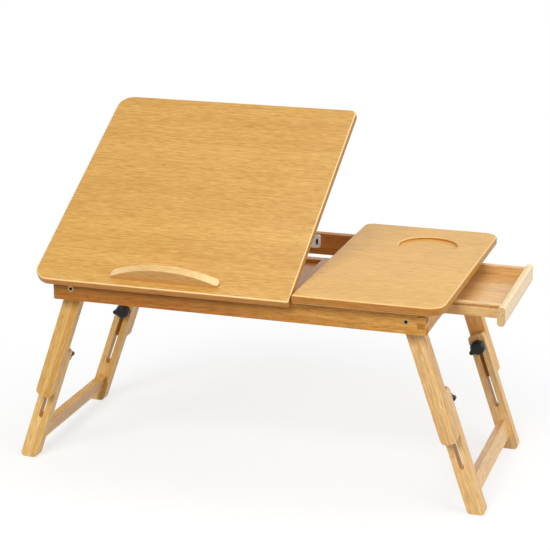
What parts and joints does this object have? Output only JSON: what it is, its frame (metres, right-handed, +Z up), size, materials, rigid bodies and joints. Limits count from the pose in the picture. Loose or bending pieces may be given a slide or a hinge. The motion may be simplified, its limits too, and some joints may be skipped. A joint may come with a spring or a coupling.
{
  "type": "folding laptop table",
  "caption": "Low wooden bed table with a tilting laptop top on a wire prop, a fixed side top with a cup recess, a side drawer and splayed folding legs that slide to set the height.",
  "frame": {"origin": "on the floor under the middle of the whole table's outline, legs out, top tilted and drawer part open", "axes": "+X to the side with the drawer, +Y from the front edge to the back, +Z up"},
  "size_m": [0.7256, 0.4052, 0.5052],
  "materials": {
    "bamboo": "satin lacquered carbonised bamboo",
    "bamboo_pale": "satin lacquered pale bamboo",
    "bamboo_deep": "satin lacquered darker bamboo",
    "brass": "plated, slightly dull",
    "steel": "zinc plated",
    "black_plastic": "fine matt",
    "white_plastic": "satin"
  },
  "bodies": {
    "frame": {"front_rail": "bamboo", "back_rail": "bamboo", "left_end_rail": "bamboo", "right_end_rail": "bamboo", "front_cross_rail": "bamboo_deep", "rear_cross_rail": "bamboo_deep", "deck_board_left": "bamboo", "deck_board_right": "bamboo", "seam_slat": "bamboo_deep", "prop_rack_left": "bamboo_pale", "prop_rack_right": "bamboo_pale", "side_panel": "bamboo", "drawer_runner_front": "bamboo_deep", "drawer_runner_rear": "bamboo_deep", "hinge_rail_leaves": "brass", "hinge_pins": "steel", "catch_body": "white_plastic", "catch_plates": "steel", "leg_spacers": "bamboo_deep", "pivot_bolts": "brass", "pivot_nuts": "brass"},
    "tilt_top": {"tilt_panel": "bamboo", "laptop_ledge": "bamboo_pale", "hinge_panel_leaves": "brass", "prop_clips": "white_plastic", "strike_plate": "steel"},
    "prop": {"prop_wire": "steel"},
    "drawer": {"drawer_front": "bamboo_pale", "drawer_side_front": "bamboo_pale", "drawer_side_rear": "bamboo_pale", "drawer_back": "bamboo_pale", "drawer_bottom": "bamboo"},
    "left_upper_legs": {"left_front_upper_leg": "bamboo", "left_rear_upper_leg": "bamboo", "left_clamp_bolts": "steel", "left_clamp_washers": "steel"},
    "left_lower_legs": {"left_front_lower_leg": "bamboo", "left_rear_lower_leg": "bamboo", "left_crossbar": "bamboo"},
    "left_front_knob": {"left_front_knob": "black_plastic"},
    "left_rear_knob": {"left_rear_knob": "black_plastic"},
    "right_upper_legs": {"right_front_upper_leg": "bamboo", "right_rear_upper_leg": "bamboo", "right_clamp_bolts": "steel", "right_clamp_washers": "steel"},
    "right_lower_legs": {"right_front_lower_leg": "bamboo", "right_rear_lower_leg": "bamboo", "right_crossbar": "bamboo"},
    "right_front_knob": {"right_front_knob": "black_plastic"},
    "right_rear_knob": {"right_rear_knob": "black_plastic"}
  },
  "joints": [
    {"name": "top_tilt", "type": "hinge", "parent": "frame", "child": "tilt_top", "pos_m": [-0.00658, -0.18133, 0.30375], "axis": [1, 0, 0], "range_deg": [-30, 5]},
    {"name": "prop_swing", "type": "hinge", "parent": "tilt_top", "child": "prop", "pos_m": [-0.00658, 0.06353, 0.43964], "axis": [1, 0, 0], "range_deg": [-18.3, 3.2]},
    {"name": "drawer_slide", "type": "slide", "parent": "frame", "child": "drawer", "axis": [1, 0, 0], "range_m": [-0.083, 0.038]},
    {"name": "left_leg_fold", "type": "hinge", "parent": "frame", "child": "left_upper_legs", "pos_m": [-0.25319, 0.00257, 0.287], "axis": [0, -1, 0], "range_deg": [0, 109]},
    {"name": "left_leg_slide", "type": "slide", "parent": "left_upper_legs", "child": "left_lower_legs", "axis": [0.3256, 0, 0.9455], "range_m": [0, 0.096]},
    {"name": "left_front_knob_turn", "type": "hinge", "parent": "left_upper_legs", "child": "left_front_knob", "pos_m": [-0.29681, -0.11483, 0.1603], "axis": [0, 1, 0], "continuous": true},
    {"name": "left_rear_knob_turn", "type": "hinge", "parent": "left_upper_legs", "child": "left_rear_knob", "pos_m": [-0.29681, 0.10997, 0.1603], "axis": [0, -1, 0], "continuous": true},
    {"name": "right_leg_fold", "type": "hinge", "parent": "frame", "child": "right_upper_legs", "pos_m": [0.24003, 0.00257, 0.287], "axis": [0, 1, 0], "range_deg": [0, 109]},
    {"name": "right_leg_slide", "type": "slide", "parent": "right_upper_legs", "child": "right_lower_legs", "axis": [-0.3256, 0, 0.9455], "range_m": [0, 0.096]},
    {"name": "right_front_knob_turn", "type": "hinge", "parent": "right_upper_legs", "child": "right_front_knob", "pos_m": [0.28365, -0.11483, 0.1603], "axis": [0, 1, 0], "continuous": true},
    {"name": "right_rear_knob_turn", "type": "hinge", "parent": "right_upper_legs", "child": "right_rear_knob", "pos_m": [0.28365, 0.10997, 0.1603], "axis": [0, -1, 0], "continuous": true}
  ],
  "couplings": [
    {"joint": "prop_swing", "follows": "top_tilt", "ratio": 0.60486}
  ]
}
